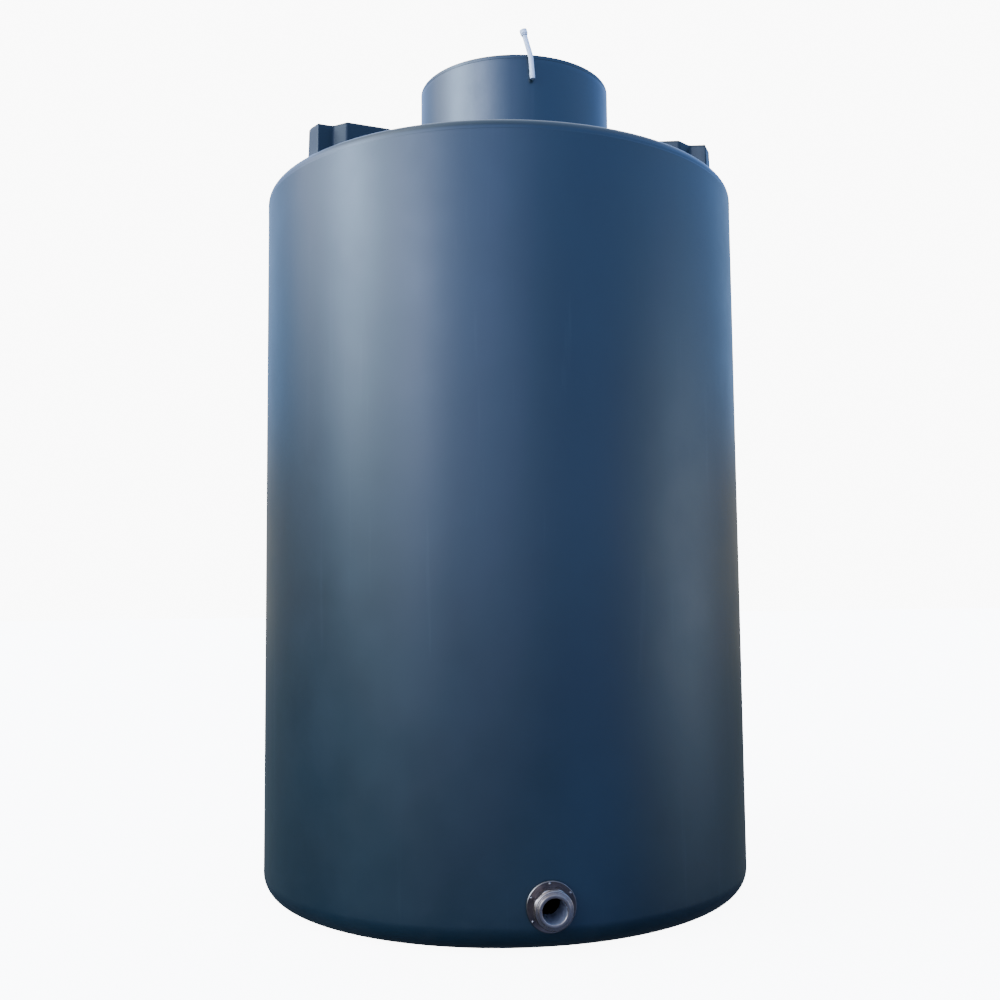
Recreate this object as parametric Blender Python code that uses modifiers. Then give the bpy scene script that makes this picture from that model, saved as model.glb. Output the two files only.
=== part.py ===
import math

import bmesh
import bpy
from mathutils import Matrix

# Upright round water tank moulded in polyethylene. Metres, +Z up, outlet facing -Y.
# The origin is on the floor, at the centre of the tank's base.

# Tank body
TANK_RADIUS = 0.813
WALL_THICKNESS = 0.008
BASE_KNUCKLE = 0.0744
SHOULDER_TOP = 2.3485
SHOULDER_FILLET = 0.031
DECK_SLOPE = 0.42
DECK_HOLE = 0.215
DECK_SKIRT = 0.020
FLOOR_LAP = 0.020
OUTLET_PANEL_TOP = 0.320
CLEAR = 0.0003

# Neck around the manway, to one side of the centre
NECK_RADIUS = 0.3375
NECK_X = 0.0585
NECK_TOP = 2.7735
NECK_FOOT = 2.487
LID_THICKNESS = 0.013
LID_ROUND = 0.0025
REGISTER_DEPTH = 0.012
REGISTER_WIDTH = 0.010

# Lifting lugs: a narrow tongue at the rim and a wider block behind it
LUG_AZIMUTHS = (-60.0, 60.0, 180.0)
LUG_TIP = 0.756
LUG_STEP = 0.7025
LUG_CHEEK = 0.677
LUG_HEEL = 0.505
TONGUE_HALF = 0.0310
BLOCK_HALF = 0.077
LUG_FOOT = 2.330
LUG_TIP_TOP = 2.4695
LUG_SLOPE = 0.122
LUG_ROUND = 0.007

# Outlet fitting, distances measured from the tank's axis
OUTLET_HEIGHT = 0.1275
BORE_RADIUS = 0.0346
SLEEVE_RADIUS = 0.0440
SLEEVE_BACK = 0.765
GASKET_RADIUS = 0.0685
GASKET_BACK = 0.793
FLANGE_RADIUS = 0.0704
FLANGE_BACK = 0.8183
FLANGE_FRONT = 0.8233
FLANGE_ROUND = 0.0012
NUT_RADIUS = 0.0562
NUT_SIDES = 8
NUT_EASE = 0.0012
NUT_FRONT = 0.8500
COLLAR_RADIUS = 0.0535
COLLAR_FRONT = 0.8645
COLLAR_ROUND = 0.0020
FACE_RADIUS = 0.0445
FACE_EASE = 0.0010
SLEEVE_FRONT = 0.8693
INNER_FLANGE_RADIUS = 0.0560
INNER_FLANGE_BACK = 0.781

# Breather tube on the front of the neck, as x and z in an upright plane
TUBE_RADIUS = 0.00925
TUBE_STANDOFF = 0.0145
TUBE_FOOT = (0.0632, 2.6835)
TUBE_BEND = (0.0574, 2.7595)
TUBE_TIP = (0.0375, 2.8305)
TUBE_EASE = 0.22
CAP_RADIUS = 0.0125
CAP_HEIGHT = 0.0205
CAP_RING_RADIUS = 0.0110
CAP_RING_HEIGHT = 0.0045
CAP_EDGE = 0.002
SADDLE_WIDTH = 0.011
SADDLE_BOTTOM = 2.697
SADDLE_TOP = 2.737

# Division of the round pieces
WALL_SEGMENTS = 12
DECK_SEGMENTS = 8
NECK_SEGMENTS = 6
STEP_ANGLE = 5.0
FINE_STEPS = 48
KNUCKLE_STEPS = 6
FILLET_STEPS = 4

FULL_TURN = 2 * math.pi
AROUND = round(360 / STEP_ANGLE)
MERGE = 0.00002
BELOW_DECK = 0.100
OUTLET_AIM = (math.radians(90.0), 0.0, 0.0)
OUTLET_PLACE = (0.0, 0.0, OUTLET_HEIGHT)
NECK_PLACE = (NECK_X, 0.0, 0.0)
DECK_FOOT = SHOULDER_TOP - SHOULDER_FILLET - DECK_SKIRT
TUBE_Y = -(NECK_RADIUS + TUBE_STANDOFF)


def clear_scene():
    for item in list(bpy.data.objects):
        bpy.data.objects.remove(item, do_unlink=True)


def new_collection(name):
    group = bpy.data.collections.new(name)
    bpy.context.scene.collection.children.link(group)
    return group


def new_material(name, colour, roughness, metallic):
    material = bpy.data.materials.new(name)
    material.use_nodes = True
    shader = material.node_tree.nodes["Principled BSDF"]
    shader.inputs["Base Color"].default_value = (*colour, 1.0)
    shader.inputs["Roughness"].default_value = roughness
    shader.inputs["Metallic"].default_value = metallic
    material.diffuse_color = (*colour, 1.0)
    return material


def place(name, data, group, location=(0.0, 0.0, 0.0), rotation=(0.0, 0.0, 0.0), parent=None):
    item = bpy.data.objects.new(name, data)
    group.objects.link(item)
    item.location = location
    item.rotation_euler = rotation
    item.parent = parent
    return item


def baked_mesh(item, name):
    """Takes the evaluated mesh of a helper object and removes the helper."""
    graph = bpy.context.evaluated_depsgraph_get()
    mesh = bpy.data.meshes.new_from_object(item.evaluated_get(graph))
    mesh.name = name
    bpy.data.objects.remove(item, do_unlink=True)
    return mesh


def close_and_smooth(mesh, angle=30.0):
    """Welds the seams, closes open ends and shades the round faces smooth."""
    work = bmesh.new()
    work.from_mesh(mesh)
    bmesh.ops.remove_doubles(work, verts=work.verts, dist=MERGE)
    ends = [edge for edge in work.edges if edge.is_boundary]
    if ends:
        bmesh.ops.holes_fill(work, edges=ends, sides=0)
    bmesh.ops.recalc_face_normals(work, faces=work.faces)
    work.to_mesh(mesh)
    work.free()
    mesh.shade_smooth()
    mesh.set_sharp_from_angle(angle=math.radians(angle))


def turned_mesh(name, profile, material, steps, closed=True, sweep=FULL_TURN):
    """Turns a profile of (radius, height) points about Z."""
    outline = bpy.data.meshes.new(name + "_profile")
    count = len(profile)
    edges = [(i, (i + 1) % count) for i in range(count if closed else count - 1)]
    outline.from_pydata([(radius, 0.0, height) for radius, height in profile], edges, [])
    helper = place(name + "_helper", outline, bpy.context.scene.collection)
    screw = helper.modifiers.new("turn", "SCREW")
    screw.axis = "Z"
    screw.angle = sweep
    screw.steps = steps
    screw.render_steps = steps
    screw.use_merge_vertices = sweep == FULL_TURN
    screw.merge_threshold = MERGE
    mesh = baked_mesh(helper, name)
    mesh.materials.clear()
    mesh.materials.append(material)
    close_and_smooth(mesh)
    return mesh


def cut(item, cutter, operation="DIFFERENCE"):
    boolean = item.modifiers.new("cut", "BOOLEAN")
    boolean.operation = operation
    boolean.solver = "EXACT"
    boolean.object = cutter


def arc(centre, radius, start, end, steps):
    points = []
    for i in range(steps + 1):
        angle = math.radians(start + (end - start) * i / steps)
        points.append((centre[0] + radius * math.cos(angle), centre[1] + radius * math.sin(angle)))
    return points


def offset_profile(points, distance):
    """Moves an outer profile, which runs top to bottom, away from the tank by distance."""
    moved = []
    for i, (x, z) in enumerate(points):
        x0, z0 = points[max(i - 1, 0)]
        x1, z1 = points[min(i + 1, len(points) - 1)]
        length = math.hypot(x1 - x0, z1 - z0)
        moved.append((x - (z1 - z0) / length * distance, z + (x1 - x0) / length * distance))
    return moved


def wall_section(outer):
    """Closes an outer profile into the section of a wall."""
    return outer + offset_profile(outer, -WALL_THICKNESS)[::-1]


def sector_mesh(name, outer, width, gap_angle, material):
    """A wall section turned through one sector and centred on -Y."""
    sweep = math.radians(width) - gap_angle
    mesh = turned_mesh(name, wall_section(outer), material, round(width / STEP_ANGLE), sweep=sweep)
    mesh.transform(Matrix.Rotation(math.radians(-90.0) - sweep / 2, 4, "Z"))
    return mesh


# Outer profiles of the body, top to bottom

def knuckle_profile():
    centre = (TANK_RADIUS - BASE_KNUCKLE, BASE_KNUCKLE)
    return arc(centre, BASE_KNUCKLE, 0.0, -90.0, KNUCKLE_STEPS) + [(centre[0] - FLOOR_LAP, 0.0)]


def deck_profile():
    """A cone that runs smoothly into the shoulder's fillet."""
    lean = math.degrees(math.atan(DECK_SLOPE))
    centre = (TANK_RADIUS - SHOULDER_FILLET, SHOULDER_TOP - SHOULDER_FILLET)
    fillet = arc(centre, SHOULDER_FILLET, 90.0 - lean, 0.0, FILLET_STEPS)
    edge, height = fillet[0]
    return [(DECK_HOLE, height + DECK_SLOPE * (edge - DECK_HOLE))] + fillet + [(TANK_RADIUS, DECK_FOOT)]


def filled_profile(outer):
    """Closes an outer profile to the axis, for a solid of revolution."""
    return [(0.0, outer[0][1])] + outer + [(0.0, outer[-1][1])]


def ring_profile(inner, outer, back, front):
    return [(inner, front), (outer, front), (outer, back), (inner, back)]


# Cutters

def make_cutter(name, profile, group, steps, location=(0.0, 0.0, 0.0), rotation=(0.0, 0.0, 0.0)):
    item = place(name, turned_mesh(name, profile, None, steps, closed=False), group, location, rotation)
    item.hide_render = True
    item.display_type = "WIRE"
    return item


def outlet_hole_cutter(group):
    radius = SLEEVE_RADIUS + CLEAR
    profile = [(0.0, 1.0), (radius, 1.0), (radius, 0.6), (0.0, 0.6)]
    return make_cutter("outlet_hole", profile, group, FINE_STEPS, OUTLET_PLACE, OUTLET_AIM)


def neck_hole_cutter(group):
    radius = NECK_RADIUS + CLEAR
    foot = SHOULDER_TOP - BELOW_DECK
    profile = [(0.0, NECK_TOP), (radius, NECK_TOP), (radius, foot), (0.0, foot)]
    return make_cutter("neck_hole", profile, group, AROUND, NECK_PLACE)


def below_deck_cutter(group):
    profile = filled_profile(offset_profile(deck_profile(), CLEAR))
    return make_cutter("below_deck", profile, group, AROUND)


def lower_body_cutter(name, distance, group):
    outer = [(TANK_RADIUS, OUTLET_PANEL_TOP)] + knuckle_profile()
    return make_cutter(name, filled_profile(offset_profile(outer, distance)), group, AROUND)


# Tank body

def build_floor(group, root, material):
    radius = TANK_RADIUS - BASE_KNUCKLE - FLOOR_LAP - CLEAR
    profile = [(0.0, WALL_THICKNESS), (radius, WALL_THICKNESS), (radius, 0.0), (0.0, 0.0)]
    mesh = turned_mesh("tank_floor", profile, material, AROUND, closed=False)
    place("tank_floor", mesh, group, parent=root)


def build_walls(group, root, material, outlet_hole):
    width = 360.0 / WALL_SEGMENTS
    gap_angle = CLEAR / (TANK_RADIUS - BASE_KNUCKLE - FLOOR_LAP)
    top = (TANK_RADIUS, DECK_FOOT - CLEAR)
    full = sector_mesh("wall_segment", [top] + knuckle_profile(), width, gap_angle, material)
    upper_outline = [top, (TANK_RADIUS, OUTLET_PANEL_TOP + CLEAR)]
    upper = sector_mesh("wall_above_outlet", upper_outline, width, gap_angle, material)
    lower_outline = [(TANK_RADIUS, OUTLET_PANEL_TOP)] + knuckle_profile()
    lower = sector_mesh("wall_at_outlet", lower_outline, width, gap_angle, material)
    panel = place("wall_outlet_panel", lower, group, parent=root)
    cut(panel, outlet_hole)
    for i in range(WALL_SEGMENTS):
        turn = (0.0, 0.0, math.radians(i * width))
        place("wall_segment_%02d" % (i + 1), full if i else upper, group, rotation=turn, parent=root)


def build_deck(group, root, material, neck_hole):
    width = 360.0 / DECK_SEGMENTS
    mesh = sector_mesh("deck_segment", deck_profile(), width, CLEAR / DECK_HOLE, material)
    for i in range(DECK_SEGMENTS):
        turn = (0.0, 0.0, math.radians(i * width))
        item = place("deck_segment_%02d" % (i + 1), mesh, group, rotation=turn, parent=root)
        cut(item, neck_hole)


def build_neck(group, root, material):
    width = 360.0 / NECK_SEGMENTS
    gap_angle = CLEAR / (NECK_RADIUS - WALL_THICKNESS)
    outer = [(NECK_RADIUS, NECK_TOP - LID_THICKNESS - CLEAR), (NECK_RADIUS, NECK_FOOT)]
    mesh = sector_mesh("neck_segment", outer, width, gap_angle, material)
    for i in range(NECK_SEGMENTS):
        turn = (0.0, 0.0, math.radians(i * width))
        place("neck_segment_%02d" % (i + 1), mesh, group, NECK_PLACE, turn, root)


def build_lid(group, root, material):
    """Flat cover with a register ring that drops inside the neck."""
    underside = NECK_TOP - LID_THICKNESS
    outer = NECK_RADIUS - WALL_THICKNESS - 2 * CLEAR
    inner = outer - REGISTER_WIDTH
    centre = (NECK_RADIUS - LID_ROUND, NECK_TOP - LID_ROUND)
    profile = [(0.0, NECK_TOP)] + arc(centre, LID_ROUND, 90.0, 0.0, 3)
    profile += [(NECK_RADIUS, underside), (outer, underside)]
    profile += [(outer, underside - REGISTER_DEPTH), (inner, underside - REGISTER_DEPTH)]
    profile += [(inner, underside), (0.0, underside)]
    mesh = turned_mesh("manway_lid", profile, material, AROUND, closed=False)
    place("manway_lid", mesh, group, NECK_PLACE, parent=root)


# Lifting lugs

def lug_outline():
    half = [(LUG_HEEL, BLOCK_HALF), (LUG_CHEEK, BLOCK_HALF), (LUG_STEP, TONGUE_HALF), (LUG_TIP, TONGUE_HALF)]
    return half + [(x, -y) for x, y in reversed(half)]


def lug_mesh(material):
    curve = bpy.data.curves.new("lug_outline", "CURVE")
    curve.dimensions = "2D"
    curve.fill_mode = "BOTH"
    curve.extrude = (LUG_TIP_TOP - LUG_FOOT) / 2
    outline = lug_outline()
    spline = curve.splines.new("POLY")
    spline.points.add(len(outline) - 1)
    for point, (x, y) in zip(spline.points, outline):
        point.co = (x, y, 0.0, 1.0)
    spline.use_cyclic_u = True
    mesh = baked_mesh(place("lug_helper", curve, bpy.context.scene.collection), "lifting_lug")
    mesh.transform(Matrix.Translation((0.0, 0.0, (LUG_TIP_TOP + LUG_FOOT) / 2)))
    for vertex in mesh.vertices:
        if vertex.co.z > LUG_FOOT + BELOW_DECK:
            vertex.co.z += LUG_SLOPE * (LUG_TIP - vertex.co.x)
    mesh.materials.clear()
    mesh.materials.append(material)
    close_and_smooth(mesh)
    return mesh


def build_lugs(group, root, material, below_deck):
    mesh = lug_mesh(material)
    for i, azimuth in enumerate(LUG_AZIMUTHS):
        turn = (0.0, 0.0, math.radians(azimuth - 90.0))
        item = place("lifting_lug_%02d" % (i + 1), mesh, group, rotation=turn, parent=root)
        bevel = item.modifiers.new("round", "BEVEL")
        bevel.width = LUG_ROUND
        bevel.segments = 3
        bevel.limit_method = "ANGLE"
        cut(item, below_deck)


# Outlet fitting, turned about Z and then laid along -Y

def build_gasket(group, root, material, lower_body):
    """Ring between the flange and the wall, its back fitted to the wall's curve."""
    profile = ring_profile(SLEEVE_RADIUS + CLEAR, GASKET_RADIUS, GASKET_BACK, FLANGE_BACK - CLEAR)
    mesh = turned_mesh("outlet_gasket", profile, material, FINE_STEPS)
    item = place("outlet_gasket", mesh, group, OUTLET_PLACE, OUTLET_AIM, root)
    cut(item, lower_body)


def build_flange(group, root, material):
    hole = SLEEVE_RADIUS + CLEAR
    centre = (FLANGE_RADIUS - FLANGE_ROUND, FLANGE_FRONT - FLANGE_ROUND)
    profile = [(hole, FLANGE_FRONT)] + arc(centre, FLANGE_ROUND, 90.0, 0.0, 2)
    profile += [(FLANGE_RADIUS, FLANGE_BACK), (hole, FLANGE_BACK)]
    mesh = turned_mesh("outlet_flange", profile, material, FINE_STEPS)
    place("outlet_flange", mesh, group, OUTLET_PLACE, OUTLET_AIM, root)


def build_nut(group, root, material, outlet_hole):
    """Eight-sided nut with one flat facing up."""
    back = FLANGE_FRONT + CLEAR
    mesh = bpy.data.meshes.new("outlet_nut")
    work = bmesh.new()
    bmesh.ops.create_cone(work, cap_ends=True, segments=NUT_SIDES, radius1=NUT_RADIUS, radius2=NUT_RADIUS,
                          depth=NUT_FRONT - back)
    half_side = Matrix.Rotation(math.pi / NUT_SIDES, 3, "Z")
    bmesh.ops.rotate(work, verts=work.verts, matrix=half_side)
    bmesh.ops.translate(work, verts=work.verts, vec=(0.0, 0.0, (back + NUT_FRONT) / 2))
    work.to_mesh(mesh)
    work.free()
    mesh.materials.append(material)
    item = place("outlet_nut", mesh, group, OUTLET_PLACE, OUTLET_AIM, root)
    bevel = item.modifiers.new("ease", "BEVEL")
    bevel.width = NUT_EASE
    bevel.segments = 2
    bevel.limit_method = "ANGLE"
    cut(item, outlet_hole)


def build_sleeve(group, root, material):
    """Sleeve through the wall, with a round collar and a raised face ring in front of the nut."""
    mouth = (BORE_RADIUS + FACE_EASE, SLEEVE_FRONT - FACE_EASE)
    rim = (FACE_RADIUS - FACE_EASE, SLEEVE_FRONT - FACE_EASE)
    shoulder = (COLLAR_RADIUS - COLLAR_ROUND, COLLAR_FRONT - COLLAR_ROUND)
    profile = arc(mouth, FACE_EASE, 180.0, 90.0, 2) + arc(rim, FACE_EASE, 90.0, 0.0, 2)
    profile += [(FACE_RADIUS, COLLAR_FRONT)] + arc(shoulder, COLLAR_ROUND, 90.0, 0.0, 3)
    profile += [(COLLAR_RADIUS, NUT_FRONT + CLEAR), (SLEEVE_RADIUS, NUT_FRONT + CLEAR)]
    profile += [(SLEEVE_RADIUS, SLEEVE_BACK), (BORE_RADIUS, SLEEVE_BACK)]
    mesh = turned_mesh("outlet_sleeve", profile, material, FINE_STEPS)
    place("outlet_sleeve", mesh, group, OUTLET_PLACE, OUTLET_AIM, root)


def build_inner_flange(group, root, material, inside):
    """Backing ring inside the tank, its front fitted to the wall's curve."""
    profile = ring_profile(SLEEVE_RADIUS + CLEAR, INNER_FLANGE_RADIUS, INNER_FLANGE_BACK, TANK_RADIUS)
    mesh = turned_mesh("outlet_inner_flange", profile, material, FINE_STEPS)
    item = place("outlet_inner_flange", mesh, group, OUTLET_PLACE, OUTLET_AIM, root)
    cut(item, inside, "INTERSECT")


# Breather tube

def tube_route():
    """Foot, eased bend and tip of the tube."""
    before = [b + (f - b) * TUBE_EASE for b, f in zip(TUBE_BEND, TUBE_FOOT)]
    after = [b + (t - b) * TUBE_EASE for b, t in zip(TUBE_BEND, TUBE_TIP)]
    points = [TUBE_FOOT]
    for i in range(5):
        s = i / 4
        weights = ((1 - s) ** 2, 2 * s * (1 - s), s * s)
        points.append(tuple(weights[0] * p + weights[1] * q + weights[2] * r
                            for p, q, r in zip(before, TUBE_BEND, after)))
    return points + [TUBE_TIP]


def build_tube(group, root, material):
    curve = bpy.data.curves.new("breather_tube", "CURVE")
    curve.dimensions = "3D"
    curve.bevel_depth = TUBE_RADIUS
    curve.bevel_resolution = 4
    curve.use_fill_caps = True
    route = tube_route()
    spline = curve.splines.new("POLY")
    spline.points.add(len(route) - 1)
    for point, (x, z) in zip(spline.points, route):
        point.co = (x, 0.0, z, 1.0)
    curve.materials.append(material)
    place("breather_tube", curve, group, (0.0, TUBE_Y, 0.0), parent=root)


def build_tube_cap(group, root, material):
    lean = math.atan2(TUBE_TIP[0] - TUBE_BEND[0], TUBE_TIP[1] - TUBE_BEND[1])
    profile = [(0.0, CAP_HEIGHT), (CAP_RADIUS - CAP_EDGE, CAP_HEIGHT), (CAP_RADIUS, CAP_HEIGHT - CAP_EDGE)]
    profile += [(CAP_RADIUS, CAP_RING_HEIGHT + CAP_EDGE / 2), (CAP_RING_RADIUS, CAP_RING_HEIGHT)]
    profile += [(CAP_RING_RADIUS, CLEAR), (0.0, CLEAR)]
    mesh = turned_mesh("tube_cap", profile, material, 32, closed=False)
    place("tube_cap", mesh, group, (TUBE_TIP[0], TUBE_Y, TUBE_TIP[1]), (0.0, lean, 0.0), root)


def build_tube_saddle(group, root, material):
    """Small block that holds the tube off the neck."""
    back = -(NECK_RADIUS + CLEAR)
    front = TUBE_Y + TUBE_RADIUS + CLEAR
    height = (SADDLE_BOTTOM + SADDLE_TOP) / 2
    share = (height - TUBE_FOOT[1]) / (TUBE_BEND[1] - TUBE_FOOT[1])
    centre = TUBE_FOOT[0] + (TUBE_BEND[0] - TUBE_FOOT[0]) * share
    mesh = bpy.data.meshes.new("tube_saddle")
    work = bmesh.new()
    bmesh.ops.create_cube(work, size=1.0)
    bmesh.ops.scale(work, verts=work.verts, vec=(SADDLE_WIDTH, back - front, SADDLE_TOP - SADDLE_BOTTOM))
    work.to_mesh(mesh)
    work.free()
    mesh.materials.append(material)
    place("tube_saddle", mesh, group, (centre, (back + front) / 2, height), parent=root)


def main():
    clear_scene()
    parts = new_collection("water_tank")
    cutters = new_collection("cutters")
    root = place("water_tank_origin", None, parts)
    poly = new_material("tank_poly", (0.032, 0.075, 0.155), 0.42, 0.0)
    lid_poly = new_material("lid_poly", (0.036, 0.080, 0.160), 0.45, 0.0)
    rubber = new_material("gasket_rubber", (0.020, 0.020, 0.022), 0.70, 0.0)
    steel = new_material("fitting_steel", (0.420, 0.425, 0.440), 0.32, 1.0)
    white = new_material("tube_plastic", (0.780, 0.790, 0.820), 0.38, 0.0)
    outlet_hole = outlet_hole_cutter(cutters)
    build_floor(parts, root, poly)
    build_walls(parts, root, poly, outlet_hole)
    build_deck(parts, root, poly, neck_hole_cutter(cutters))
    build_neck(parts, root, poly)
    build_lid(parts, root, lid_poly)
    build_lugs(parts, root, poly, below_deck_cutter(cutters))
    build_gasket(parts, root, rubber, lower_body_cutter("lower_body", CLEAR, cutters))
    build_flange(parts, root, steel)
    build_nut(parts, root, steel, outlet_hole)
    build_sleeve(parts, root, steel)
    build_inner_flange(parts, root, steel, lower_body_cutter("lower_inside", -WALL_THICKNESS - CLEAR, cutters))
    build_tube(parts, root, white)
    build_tube_cap(parts, root, white)
    build_tube_saddle(parts, root, white)


main()
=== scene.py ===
import math

import bmesh
import bpy
from mathutils import Matrix, Vector, noise


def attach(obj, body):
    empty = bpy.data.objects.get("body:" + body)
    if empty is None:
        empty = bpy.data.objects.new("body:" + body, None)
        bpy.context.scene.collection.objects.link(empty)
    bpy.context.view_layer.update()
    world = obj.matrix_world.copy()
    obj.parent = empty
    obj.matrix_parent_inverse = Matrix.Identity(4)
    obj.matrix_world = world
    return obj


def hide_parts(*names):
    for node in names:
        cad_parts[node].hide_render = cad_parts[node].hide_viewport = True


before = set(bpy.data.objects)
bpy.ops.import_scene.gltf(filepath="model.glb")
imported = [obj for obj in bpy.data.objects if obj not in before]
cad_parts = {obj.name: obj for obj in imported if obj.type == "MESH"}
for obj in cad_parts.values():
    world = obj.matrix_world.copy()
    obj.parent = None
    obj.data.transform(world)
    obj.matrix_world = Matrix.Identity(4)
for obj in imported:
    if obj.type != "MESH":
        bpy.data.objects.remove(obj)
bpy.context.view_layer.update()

# Upright moulded water tank, metres, in the same frame as its solids

# Tank body
TANK_RADIUS = 0.813
WALL = 0.008
BASE_KNUCKLE = 0.0744
SHOULDER_TOP = 2.3485
SHOULDER_FILLET = 0.031
DECK_SLOPE = 0.42
DECK_INSET = 0.4 * WALL
PARTING_HEIGHT = 2.3120
PARTING_RELIEF = 0.0005
PARTING_RISE = 0.012
PARTING_FALL = 0.0012
LEDGE_BELOW = 0.0055
LEDGE_SPAN = 0.0075

# Unevenness of the moulded skin: how often it comes round and up, and where it starts
WAVE_DEPTH = 0.0005
SLOW_WAVE = (1.7, 1.1, 4.0)
QUICK_WAVE = (5.0, 3.0, 9.0)
QUICK_SHARE = 0.35
NECK_WAVE_SHARE = 0.6
NECK_WAVE_START = 2.0

# Neck and lid
NECK_RADIUS = 0.3375
NECK_X = 0.0585
NECK_TOP = 2.7735
NECK_FILLET = 0.009
RIM_ROUND = 0.0005
RIM_BREAK = 0.001
LID_THICKNESS = 0.013
LID_GAP = 0.0003
LID_EDGE = 0.0025
LID_DISH = 0.0005
LID_DISH_RADIUS = 0.10
LID_BROW = (0.300, 0.0003)
REGISTER_GAP = 0.0012
REGISTER_WIDTH = 0.010
REGISTER_DEPTH = 0.012
# Radius and depth of the points across the lid's ring groove
LID_GROOVE = ((0.205, 0.0005), (0.209, 0.0022), (0.216, 0.0026), (0.223, 0.0022), (0.227, 0.0005))

# Rows and steps of the body's mesh
COLUMNS = 288
FLOOR_RINGS = (0.15, 0.35, 0.55, 0.66)
KNUCKLE_STEPS = 18
WALL_ROWS = 44
LEDGE_ROWS = 14
SHOULDER_START = 2.0
SHOULDER_STEPS = 12
DECK_ROWS = 20
FILLET_STEPS = 10
NECK_ROWS = 13
EDGE_STEPS = 5
INNER_NECK_HEIGHTS = (2.70, 2.64)
INNER_FILLET_STEPS = 4
INNER_DECK_ROWS = 8
INNER_WALL_HEIGHTS = (2.0, 1.5, 1.0, 0.6, 0.35, 0.20)
INNER_KNUCKLE_STEPS = 8
INNER_FLOOR_RING = 0.4
LID_COLUMNS = 192

# Lugs
LUG_AZIMUTHS = (-60.0, 60.0, 180.0)
LUG_TIP = 0.756
LUG_STEP = 0.7025
LUG_CHEEK = 0.677
LUG_HEEL = 0.505
TONGUE_HALF = 0.0310
BLOCK_HALF = 0.077
LUG_TIP_TOP = 2.4695
LUG_SLOPE = 0.122
LUG_BASE_FLARE = 0.005
LUG_FLARE = 0.003
LUG_FLARE_REACH = 0.025
LUG_FLARE_FACING = 0.3
TONGUE_CORNER = 0.0035
TONGUE_ROOT = 0.012
BLOCK_CORNER = 0.013
HEEL_CORNER = 0.014
LUG_TOP_ROUND = 0.009
LUG_DRAFT = 0.0025
LUG_SINK = 0.0006
LUG_OUTLINE_STEP = 0.010
LUG_CORNER_STEPS = 9
LUG_FOOT_STEPS = 7
LUG_SIDE_ROWS = 10

# Outlet fitting, distances from the tank's axis
OUTLET_HEIGHT = 0.1275
FIT = 0.0004
BORE_RADIUS = 0.0346
SLEEVE_RADIUS = 0.0440
HOLE_RADIUS = SLEEVE_RADIUS + FIT
SLEEVE_BACK = 0.765
SLEEVE_FRONT = 0.8693
SLEEVE_CHAMFER = 0.001
BORE_ROUND = 0.0018
BORE_LIP = 0.0024
FACE_RADIUS = 0.0445
FACE_ROUND = 0.0012
GASKET_RADIUS = 0.0685
GASKET_BEVEL = 0.0012
GASKET_SEAT = 0.0006
GASKET_FRONT_RING = 0.055
GASKET_BACK_RINGS = (0.062, 0.052)
FLANGE_RADIUS = 0.0704
FLANGE_BACK = 0.8183
FLANGE_FRONT = 0.8233
FLANGE_BEVEL = 0.0016
FLANGE_ROUND = 0.0008
NUT_RADIUS = 0.0562
NUT_FRONT = 0.8500
NUT_SIDES = 8
NUT_CORNER = 0.0550
NUT_STEPS = 16
NUT_FLAT = NUT_RADIUS * math.cos(math.pi / NUT_SIDES)
COLLAR_RADIUS = 0.0535
COLLAR_FRONT = 0.8645
COLLAR_ROUND = 0.0022
COLLAR_RIB = 0.0026
RIB_START = 0.0010
RIB_DEPTH = 0.0006
STEP_RADIUS = 0.0479
STEP_HEIGHT = 0.0008
STEP_FOOT = 0.0491
DRILL_FRONT = 0.90
DRILL_BACK = 0.70
DRILL_STEPS = 96
TURN_STEPS = 128
FINE_STEPS = 160
RIM_BAND = FLANGE_BEVEL + 0.0004
BORE_BAND = 0.0003
# Raised lip of the flange: how far in from its edge, how far out from its front
FLANGE_LIP = ((0.0028, 0.0), (0.0022, 0.0004), (0.0016, 0.0003), (0.0003, -0.0018), (0.0, -0.0024))
# Turned corners of the nut: how far out its corners reach, how far behind its front
NUT_EDGE = ((NUT_CORNER, 0.0040), (NUT_CORNER - 0.0009, 0.0022), (NUT_FLAT, 0.0008),
            (NUT_FLAT - 0.0012, 0.0))
NUT_RUNOUT = 0.0030
# Step below the face ring: how far out from it, how far out from the collar's front
FACE_STEP = ((0.0, 0.0022), (0.0006, 0.0016))
# Back edge of the collar: how far in from its side, how far out from its back
COLLAR_EDGE = ((0.0004, 0.0006), (0.0014, 0.0))

# Screws on the flange
SCREW_CIRCLE = 0.0632
SCREW_COUNT = 6
SCREW_FIRST = 94.0
SCREW_STEPS = 20
SCREW_SLOT = 0.22
SCREW_SLOT_FLOOR = 0.0015
SCREW_SLOT_DEPTH = 0.0007
SCREW_SLOT_TURN = 1.7
# Radius and height of the points up one screw's head
SCREW_DOME = ((0.0034, 0.0), (0.0034, 0.0010), (0.0031, 0.0018), (0.0024, 0.0025), (0.0013, 0.0029),
              (0.0, 0.0030))

# Breather tube
TUBE_RADIUS = 0.00925
TUBE_BORE = 0.0065
TUBE_Y = -(NECK_RADIUS + 0.0145)
TUBE_FOOT = (0.0632, 2.6835)
TUBE_BEND = (0.0574, 2.7595)
TUBE_TIP = (0.0375, 2.8305)
TUBE_EASE = 0.22
TUBE_MOUTH = 0.0006
TUBE_SLIM = 0.90
TUBE_SPREAD = 0.03
TUBE_STEPS = 32
BEND_STEPS = 8
CAP_TOP = 0.0205
CAP_RADIUS = 0.0125
CAP_TOP_RING = 0.0060
CAP_ROUND = 0.0025
CAP_HEM = (0.0115, 0.0062)
CAP_HEM_ROUND = 0.0010
CAP_STEPS = 64
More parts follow.
